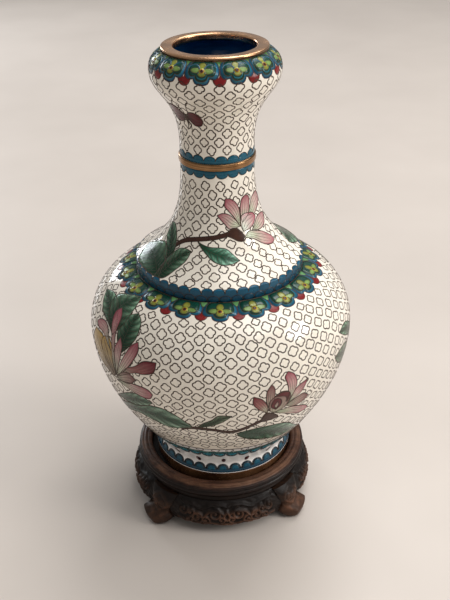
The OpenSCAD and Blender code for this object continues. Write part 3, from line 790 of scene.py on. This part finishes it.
    # belly, low flower
    branch([(-20, -35.6), (-14, -32.8), (-5, -33.4), (0, -35.2), (5, -35.8), (10, -33), (15, -29.6),
            (19, -27)])
    leaf((6, -38), [(14, -35.6), (22, -36), (28, -37.6), (33, -40.8), (38, -46.6)], (46, -56.4),
         [(35, -57.6), (26, -54.6), (19, -51.2), (12.5, -47.4), (7.6, -42.4)], low_leaf, 0.11)
    leaf((-12, -32), [(-9, -27.4), (-5, -23.8), (-2, -20)], (3.6, -20.6), [(-1, -26), (-6, -29.5)],
         grey_leaf, 0.14)
    add((19, -22), [(15, -18), (12.3, -13)], (12.2, -7.4), [(16, -10.6), (18.4, -16)], dark_red, 0.12)
    add((19.8, -20), [(17.9, -13), (17.8, -6)], (19.7, -1.4), [(21.2, -5), (21.2, -12)], dusk, 0.13)
    add((27, -17), [(27.6, -9), (26.6, -3), (25.6, 1)], (27, 4), [(30, 1), (31.4, -5), (30.2, -12)], pink,
        0.13)
    add((28, -19), [(30, -13), (32, -8.6)], (37, -6), [(36, -10), (34, -14)], pink, 0.14)
    add((27, -20), [(32, -17), (36, -15.8)], (39.6, -19.6), [(36, -23), (31, -23)], dusk, 0.14)
    add((21, -22.5), [(30, -23.2), (36, -26), (40, -28.8)], (43, -33), [(38, -34), (32, -30.4), (26, -26)],
        pale_pink, 0.15)
    add((22, -23.4), [(19.6, -20), (19.4, -13)], (24, -8.6), [(28.4, -10.4), (28.4, -17), (26, -21.6)],
        dusk, 0.17, veins=(0.2, 0.8), n=20)
    add((27.6, -17), [(28.2, -10.4), (24.6, -8.2)], (21.4, -10.4), [(23.6, -11.2), (26.4, -12.6)], deep_red,
        0.19, veins=())
    add((22.6, -21), [(20.2, -17.6), (20.8, -13)], (22.8, -11.8), [(24.8, -14.4), (24.6, -18.4)], deep_red,
        0.20, veins=())
    add((22.5, -19.6), [(21.8, -17.2)], (22.9, -14.4), [(23.5, -16.8)], dusk, 0.225, veins=())
    add((16.4, -29.4), [(17, -25), (18.6, -22.2)], (21.5, -23.6), [(24.6, -28), (20.5, -29.4)], brown,
        0.22, veins=())
    # far right leaves
    leaf((78, -26), [(68, -18), (60, -12)], (55.5, -5), [(64, -3), (72, -8)], grey_leaf, 0.11)
    leaf((80, -12), [(74, -4), (66, 2)], (60, 8), [(68, 9), (76, 2)], leafy, 0.12)
    return outlines


painted = paint_side(0) + paint_side(180)


# ---- the ground's wire cells
def inside(p, outline):
    """Which of the places p lie inside a closed outline."""
    x, y = p[:, 0], p[:, 1]
    odd = np.zeros(len(p), bool)
    for (x0, y0), (x1, y1) in zip(outline, np.roll(outline, -1, 0)):
        if y0 != y1:
            odd ^= ((y0 > y) != (y1 > y)) & (x < (x1 - x0) * (y - y0) / (y1 - y0) + x0)
    return odd


BOXES = [(p[:, 0].min(), p[:, 0].max(), p[:, 1].min(), p[:, 1].max()) for p in painted]
CELL_WIRE, CELL_LIFT = 0.76, 0.07


def covered(p):
    """Which of the places p a painted motif covers."""
    hidden = np.zeros(len(p), bool)
    for shift in (0, 360, -360):
        q = p + [shift, 0]
        (x_low, y_low), (x_high, y_high) = q.min(0), q.max(0)
        for outline, (x0, x1, y0, y1) in zip(painted, BOXES):
            if x_high >= x0 and x_low <= x1 and y_high >= y0 and y_low <= y1:
                hidden |= inside(q, outline)
    return hidden


def cell(bag, az, u, width, height):
    """A hand-bent quatrefoil of wire, cut off where a motif covers it."""
    n = 36
    th = circle(n)
    tilt = rng.uniform(-0.26, 0.10)
    f = 0.66 + 0.34 * np.abs(np.cos(2 * (th + tilt))) ** 0.62
    f = f * (1 + rng.uniform(-0.05, 0.05) * np.cos(th + rng.uniform(0, 6.3))
             + rng.uniform(-0.05, 0.05) * np.cos(2 * th + rng.uniform(0, 6.3)))
    s = rng.uniform(0.94, 1.07)
    p = np.stack([az + np.cos(th) * f * width / 2 * s * degrees_per_mm(u),
                  u + np.sin(th) * f * height / 2 * s], 1)
    hidden = covered(p)
    if not hidden.any():
        ribbon(bag, p, CELL_WIRE, CELL_LIFT, closed=True)
        return
    start = int(np.argmax(hidden))
    p, hidden = np.roll(p, -start, 0), np.roll(hidden, -start)
    ends = np.flatnonzero(hidden)
    for a, b in zip(ends, np.append(ends[1:], n)):
        if b - a > 3:
            ribbon(bag, p[a + 1:b], CELL_WIRE, CELL_LIFT)


cells = {"upper": Bag(), "lower": Bag(), "neck": Bag()}
BELLY_ROWS = [34.1 - 4.1 * i for i in range(23)] + [-64.1]
for j, u in enumerate(BELLY_ROWS):
    bag = cells["upper" if u > -13 else "lower"]
    pitch = math.pi / 180 * 9 * float(rad(u))
    for i in range(40):
        az = -1 + 9 * i + (4.5 if j % 2 else 0) + rng.uniform(-0.35, 0.35)
        cell(bag, az, u + rng.uniform(-0.3, 0.3), min(5.9, pitch * 0.535), 5.4 if j else 4.4)
NECK_ROWS = [59.2 + 4.5 * i for i in range(13)] + [133.0 + 4.4 * i for i in range(10)]
for j, u in enumerate(NECK_ROWS):
    girth = 2 * math.pi * float(rad(u))
    n = max(16, int(round(girth / 9.7)))
    for i in range(n):
        az = 3 + 360 / n * (i + (0.5 if j % 2 else 0)) + rng.uniform(-0.5, 0.5)
        cell(cells["neck"], az, u + rng.uniform(-0.3, 0.3), min(5.4, girth / n * 0.565), 5.05)

borders.make("border_enamels", M_BORDER, "vase", "enamel_border")
motifs.make("painted_motifs", M_MOTIF, "vase", "enamel_border")
border_wires.make("border_wires", M_WIRE, "vase", "wire",
                  ("wire_foot", "wire_collar_foot", "wire_collar_edge"))
motif_wires.make("motif_wires", M_WIRE, "vase", "wire")
for part, bag in cells.items():
    bag.make("cell_wires_" + part, M_WIRE, "vase", "wire")


# ---- turned pieces
def arc(r, z, radius, a0, a1, n):
    """n (r, z) points on an arc about (r, z), from a0 to a1 degrees."""
    angles = [math.radians(a) for a in np.linspace(a0, a1, n)]
    return [(r + radius * math.cos(a), z + radius * math.sin(a)) for a in angles]


def hand_worn(size):
    """Slight waves of so many mm, for lathe."""
    def wob(a, r, z):
        w = np.sin(a * 3 + 0.7) * 0.5 + np.sin(a * 7 + 2.1) * 0.3 + np.sin(a * 17 + z) * 0.2
        return size * w, size * 0.5 * np.sin(a * 5 + 1.3)
    return wob


def turned_piece(name, node, mat, body, slot, outline, **options):
    bag = Bag()
    lathe(bag, outline, **options)
    bag.make(name, mat, body, slot, (node,))


rim = arc(26.7, 281.5, 0.85, -60, 80, 13) + arc(22.3, 281.4, 0.95, 100, 180, 8) + [
    (21.3, 280.0), (21.3, 278.9), (22.5, 278.9), (22.5, 281.0), (25.3, 281.0),
    (26.6, 280.2), (26.9, 279.9), (27.2, 280.3)]
# the tint is darker on the underside of the rim's outer edge
rim_tone = [np.interp(z, [280.8, 281.5, 282.1], [0.35, 0.45, 1.0]) if r > 25 else 1.0 for r, z in rim]
turned_piece("brass_rim", "mouth_rim", M_BRASS, "vase", "brass", rim,
             col=np.array(rim_tone)[:, None] * np.array([1.0, 0.89, 0.82]), wob=hand_worn(0.06))

neck_ring = [(18.9, 221.8), (20.2, 221.8)] + arc(20.1, 222.5, 0.7, -80, 30, 5) + [
    (20.75, 223.4), (20.85, 223.65), (20.75, 223.9)] + arc(20.1, 224.8, 0.7, -30, 80, 5) + [
    (20.2, 225.5), (18.9, 225.5)]
turned_piece("brass_neck_ring", "neck_ring", M_BRASS_AGED, "vase", "brass", neck_ring, wob=hand_worn(0.04))

foot_ring = [(38, 28), (41.2, 28)] + arc(41.1, 28.8, 0.8, -80, 0, 5) + [(41.9, 31), (41.9, 34.5)] + arc(
    40.9, 35.8, 1.0, 0, 80, 6) + [(41.4, 36.75), (38, 36.8), (38, 32)]
turned_piece("brass_foot_ring", "foot_ring", M_BRASS_FOOT, "vase", "brass", foot_ring, wob=hand_worn(0.03))

STAND_X = -1.5        # the stand's axis lies a little to the left of the vase's
LEG_TURN = -42.6      # degrees from +X to the first leg
WOOD_TOP = 22.4       # height of the aprons and legs
WEAR_AND_HIGHLIGHT_Z = 32.9         # above it the top ring is worn

stand_ring = [(45.5, 25.5), (50.2, 25.5), (50.2, 26.2), (50.4, 27.1), (51.0, 27.7)] + arc(
    51.75, 28.75, 1.05, -95, 70, 9) + arc(51.05, 31.35, 1.35, -45, 78, 9) + [
    (50.7, 33.0), (50.4, 33.5), (50.0, 33.25), (49.6, 33.3), (49.2, 33.8), (48.4, 33.95), (47.7, 33.85),
    (47.3, 33.5), (46.9, 33.75), (46, 33.75), (45.1, 33.5), (44.4, 32.9), (44.05, 31.8), (44, 28), (45.5, 28)]
ring_r, ring_z = np.array(stand_ring).T
# the top is lighter, its outer edge more so: partly wear, partly painted highlight
on_top = ring_z > WEAR_AND_HIGHLIGHT_Z
wear_and_highlight = np.where(on_top, 0.30, 0.0) + np.where((ring_r > 49.1) & on_top, 0.45, 0)
# painted shade darkens the ring below its top
painted_shade = np.clip((33.0 - ring_z) / 1.2, 0, 0.85)
turned_piece("stand_top_ring", "stand_ring", M_WOOD_TOP, "stand", "wood", stand_ring,
             n=220, col=np.stack([wear_and_highlight, painted_shade, 0 * wear_and_highlight], 1), cx=STAND_X, wob=hand_worn(0.05))

waist = [(45.5, 22.4), (50.2, 22.4), (49.9, 22.9), (49.4, 23.6), (49.3, 24.2), (49.6, 24.9), (50.2, 25.5),
         (45.5, 25.5)]
# the groove under the top ring takes the darker wood as painted shade
turned_piece("stand_waist_groove", "stand_waist", M_WOOD_SHADED, "stand", "wood_dark", waist,
             n=200, col=(0.1, 0, 0), cx=STAND_X)


# ---- carved aprons and legs
def spiral(x, y, r0, turns, a0, hand, n=40):
    """A spiral about (x, y) from radius r0 at angle a0 inwards. hand is 1 or -1 for its sense."""
    t = np.linspace(0, 1, n)
    r = r0 * (1 - t) ** 0.8
    a = a0 + hand * t * turns * 2 * math.pi
    return np.stack([x + r * np.cos(a), y + r * np.sin(a)], 1)


def relief(lines, x, z):
    """Height from 0 to 1 of raised carving along lines, at the points (x, z)."""
    P = np.stack([x.ravel(), z.ravel()], 1)
    d = np.full(len(P), 99.0)
    for i in range(0, len(lines), 64):
        d = np.minimum(d, np.sqrt(((P[:, None] - lines[None, i:i + 64]) ** 2).sum(-1)).min(1))
    return np.exp(-(d.reshape(x.shape) / 0.8) ** 2)


QUARTER = math.pi / 2
# carving of one apron, as curves of (mm from its middle, z)
apron_lines = []
for s in (-1, 1):
    apron_lines += [
        spiral(s * 7.5, 15.5, 4.0, 1.4, QUARTER, s), spiral(s * 18.5, 12.5, 4.2, 1.5, -QUARTER, -s),
        spiral(s * 27.5, 16.0, 3.6, 1.3, QUARTER, s),
        spline([(0, 19.5), (s * 4, 20.5), (s * 10, 20.2), (s * 16, 18.5), (s * 22, 19.8),
                (s * 30, 20.4)], 50),
        spline([(0, 8.6), (s * 5, 8.0), (s * 11, 9.6), (s * 16, 8.2), (s * 24, 8.4), (s * 31, 9.8)], 50),
        spline([(0, 17.0), (s * 1.8, 14), (0, 11)], 20),
        spiral(s * 3.4, 12.0, 2.6, 1.1, -QUARTER, -s), spiral(s * 12.8, 10.6, 3.0, 1.2, QUARTER, s),
        spiral(s * 22.6, 15.2, 2.8, 1.1, -QUARTER, -s), spiral(s * 23.6, 10.2, 2.4, 1.0, 0.3, s),
        spline([(s * 2, 15.5), (s * 6, 17.6), (s * 11.5, 16.2), (s * 15, 13.2), (s * 20, 15.4)], 40),
    ]
APRON_LINES = np.concatenate([spline(line, len(line) * 2) for line in apron_lines])
APRON_LOW = 5.6
APRON_R, APRON_Z = bez([(54.0, APRON_LOW), (59.0, 10.6), (55.6, 17.0), (51.8, WOOD_TOP)], 200).T


def apron(bag, middle):
    """A carved panel about the azimuth middle, in degrees from +X, with a cusped lower edge."""
    n_round, n_up = 230, 46
    th = np.linspace(-38.0, 38.0, n_round)
    low = np.full(n_round, APRON_LOW)
    for s in range(-2, 3):
        x = (th - s * 13.5) * math.pi / 180 * 55
        cusp = 1.0 + np.sqrt(np.maximum(36 - x * x, 0))
        low = np.where(np.abs(x) < 3.8, np.maximum(low, cusp), low)
    low = low[:, None]
    z = low + (WOOD_TOP - low) * np.linspace(0, 1, n_up)[None]
    x = th[:, None] * math.pi / 180 * 56 + 0 * z
    h = relief(APRON_LINES, x, z)
    fade = np.clip((z - low) / 0.9, 0, 1) * np.clip((WOOD_TOP - z) / 0.8, 0, 1)
    chisel = 0.2 * np.sin(x * 1.1 + z) * np.sin(z * 1.3)
    rim = np.exp(-((z - low - 0.9) / 0.7) ** 2) * 0.9
    r = np.interp(z, APRON_Z, APRON_R) - 1.1 + (1.6 * h + chisel) * fade + rim * (1 - 0.4 * h)
    z_back = z[:, ::-1]
    r_back = np.where(z_back > 18, 45.6, 49.2)
    a = np.radians(middle + th)[:, None]
    sides = [np.stack([STAND_X + q * np.cos(a), q * np.sin(a), zs], -1)
             for q, zs in ((r, z), (r_back, z_back))]
    P = np.concatenate(sides, 1) * MM
    # wear and painted highlight: lighter on the carving's crests and on the lip of the lower edge
    wear_and_highlight = np.clip(np.concatenate([h * 0.42 + rim * 0.25, 0 * h], 1), 0, 1)
    # painted shade in the recesses between the carving
    recess_shade = np.concatenate([0.75 * (1 - h) * fade, 0 * h], 1)
    # painted shade on the upper apron, under the top ring
    high = np.clip((np.concatenate([z, z_back], 1) - 15.0) / 4.0, 0, 0.85)
    bag.grid(P, np.stack([wear_and_highlight * (1 - high), np.maximum(high, recess_shade), 0 * wear_and_highlight], -1), closed_j=True)
    bag.cap(P[0], True)
    bag.cap(P[-1], False)


# a leg's half width, and its outer and inner radius, against height
LEG_HALF = ([0, 1.2, 3.2, 5.6, 7.0, 8.4, 10, 12, 15, 22.4],
            [4.2, 7.6, 11.2, 11.9, 10.8, 8.2, 6.4, 6.4, 7.4, 9.6])
LEG_OUT = ([0, 1, 2.5, 5, 6.6, 8.4, 10.5, 13, 16, 19, 22.4],
           [61.4, 62.8, 63.8, 64.0, 62.6, 59.8, 58.4, 58.6, 58.4, 57.0, 53.8])
LEG_IN = ([0, 2, 4, 7, 9, 22.4], [54.6, 53.0, 52.0, 50.8, 49.3, 48.8])
# how steeply its two faces fall away from the middle ridge
LEAN_OUT = ([0, 7, 12, 22.4], [0.25, 0.22, 0.18, 0.12])
LEAN_IN = ([0, 7, 12, 22.4], [0.90, 0.80, 0.25, 0.12])
leg_lines = []
for s in (-1, 1):
    leg_lines += [
        spline([(0, 10.0), (s * 3, 11.5), (s * 6.0, 15), (s * 4, 19), (0, 21)], 50),
        spline([(s * 3.0, 7.5), (s * 6.5, 8.6), (s * 9.5, 7.2)], 30),
        spiral(s * 2.6, 15.5, 2.2, 1.2, -QUARTER, -s),
    ]
LEG_LINES = np.concatenate(leg_lines)


def leg(bag, azimuth, hand):
    """A bracket leg at an azimuth in degrees from +X, built as (out, across, z). hand, 1 or -1,
    is the side on which its foot flares."""
    n_up, n_across = 60, 64
    z = np.linspace(0, WOOD_TOP, n_up)[:, None]
    half, out, inn = (np.interp(z, *p) for p in (LEG_HALF, LEG_OUT, LEG_IN))
    lean_out, lean_in = (np.interp(z, *p) for p in (LEAN_OUT, LEAN_IN))
    t = np.linspace(-1, 1, n_across)[None]
    across = np.sign(t) * (1 - (1 - np.abs(t)) ** 1.6)
    flaring = hand * across > 0
    flare = np.interp(z, [0, 8, 12], [1.0, 1.0, 0.0])
    Y = half * across * (1 + flare * np.where(flaring, 0.12, -0.40))
    bulge = 1 - np.abs(across) ** 5
    lean = np.where(flaring, lean_out, lean_in)
    depth = np.maximum((out - inn) - lean * (np.sqrt(Y * Y + 1.5) - 1.22), 0.8)
    Z = z + 0 * Y
    h = relief(LEG_LINES, Y, Z)
    face = bulge ** 0.5
    X = inn + depth * (0.75 + 0.25 * bulge) + (0.6 * h - 0.3) * face
    front = np.stack([X, Y, Z], -1)
    back = np.stack([inn + 0 * Y, Y, Z], -1)[:, ::-1]
    x, y, z_all = np.concatenate([front, back], 1).transpose(2, 1, 0)
    a = math.radians(azimuth)
    P = np.stack([STAND_X + x * math.cos(a) - y * math.sin(a),
                  x * math.sin(a) + y * math.cos(a), z_all], -1) * MM
    # wear and painted highlight on the carving's crests, and over the lower leg
    wear_and_highlight = np.clip(np.concatenate([h * 0.4 * face, 0 * h], 1), 0, 1).T
    # painted shade on the upper leg, under the top ring
    painted_shade = np.clip((z_all - 16) / 5.0, 0, 0.8)
    bag.grid(P, np.stack([np.clip(wear_and_highlight + 0.18 * (z_all < 14), 0, 1), painted_shade, 0 * wear_and_highlight], -1), closed_i=True)
    bag.cap(P[:, 0], False)
    bag.cap(P[:, -1], True)


for i, side in enumerate(("front", "right", "back", "left")):
    bag = Bag()
    apron(bag, LEG_TURN + 90 * (i - 1) + 45)
    bag.make("carved_apron_" + side, M_WOOD, "stand", "wood", ("apron_" + side,))
for i, corner in enumerate(("front_right", "back_right", "back_left", "front_left")):
    bag = Bag()
    leg(bag, LEG_TURN + 90 * i, -1 if i % 2 else 1)
    bag.make("carved_leg_" + corner, M_WOOD, "stand", "wood", ("leg_" + corner,))


# ---- carried-over CAD nodes
def carry(node, mat, colour):
    """Keeps a CAD node's mesh, with a procedural material."""
    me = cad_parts[node].data
    tints = me.color_attributes.new("tint", "FLOAT_COLOR", "POINT")
    tints.data.foreach_set("color", np.tile(np.array([*colour, 1.0], np.float32), len(me.vertices)))
    me.materials.clear()
    me.materials.append(mat)


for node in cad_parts:
    if node.startswith("copper_") or node == "base_plate":
        carry(node, M_COPPER, (1, 1, 1))
    elif node.startswith("liner_") or node in ("base_enamel", "base_liner"):
        carry(node, M_LINING, LINER_BLUE)
    elif node == "stand_board":
        # the board inside the ring takes the darker wood as painted shade
        carry(node, M_WOOD_SHADED, (0, 0, 0))

# ---- floor, lights, camera
FLOOR_HALF = 3.0
floor_mesh = bpy.data.meshes.new("floor")
corners = [(x * FLOOR_HALF, y * FLOOR_HALF, 0) for x, y in ((-1, -1), (1, -1), (1, 1), (-1, 1))]
floor_mesh.from_pydata(corners, [], [(0, 1, 2, 3)])
floor = bpy.data.objects.new("floor", floor_mesh)
scene.collection.objects.link(floor)
floor_mat, nt, bsdf = base_material("plain_floor", 0.45)
floor_colour = curve(nt, noise(nt, 6.0, 3.0), [(0.3, srgb(198, 189, 181)), (0.7, srgb(205, 196, 188))])
nt.links.new(floor_colour, bsdf.inputs["Base Color"])
floor_mesh.materials.append(floor_mat)

# name, degrees round and up from the vase's middle, metres away, width and height, watts, colour
LIGHTS = [("window_left", -148, 12, 1.6, (0.34, 0.55), 5, (0.90, 0.95, 1.0)),
          ("window_right", 74, 25, 1.6, (0.50, 0.60), 11, (1.0, 0.98, 0.95)),
          ("key", 155, 58, 1.9, (1.1, 1.1), 23, (1.0, 0.985, 0.97)),
          ("ceiling", 60, 64, 1.9, (1.4, 1.4), 15, (1.0, 0.985, 0.97))]
for name, az, el, dist, size, power, colour in LIGHTS:
    a, e = math.radians(az), math.radians(el)
    d = Vector((math.sin(a) * math.cos(e), -math.cos(a) * math.cos(e), math.sin(e)))
    light = bpy.data.lights.new(name, "AREA")
    light.shape = "RECTANGLE"
    light.size, light.size_y = size
    light.energy = power
    light.color = colour
    o = bpy.data.objects.new(name, light)
    o.location = Vector((0, 0, 0.16)) + d * dist
    o.rotation_euler = (-d).to_track_quat("-Z", "Y").to_euler()
    scene.collection.objects.link(o)
room = bpy.data.worlds.new("soft_room")
scene.world = room
room.use_nodes = True
sky = room.node_tree.nodes["Background"].inputs
sky["Color"].default_value = (1.0, 0.98, 0.955, 1)
sky["Strength"].default_value = 0.30

pitch, roll, yaw = (math.radians(v) for v in (30.512, -1.078, 0.569))
aim = Matrix.Rotation(-yaw, 4, "Z") @ Matrix.Rotation(math.pi / 2 - pitch, 4, "X")
aim @= Matrix.Rotation(roll, 4, "Z")
camera_data = bpy.data.cameras.new("camera")
camera_data.sensor_width = 36.0
camera_data.lens = 52.2
camera_data.clip_start = 0.01
camera = bpy.data.objects.new("camera", camera_data)
camera.matrix_world = Matrix.Translation((-0.0017, -0.441, 0.39288)) @ aim
scene.collection.objects.link(camera)
bpy.context.scene.camera = camera
scene.view_settings.view_transform = "Standard"
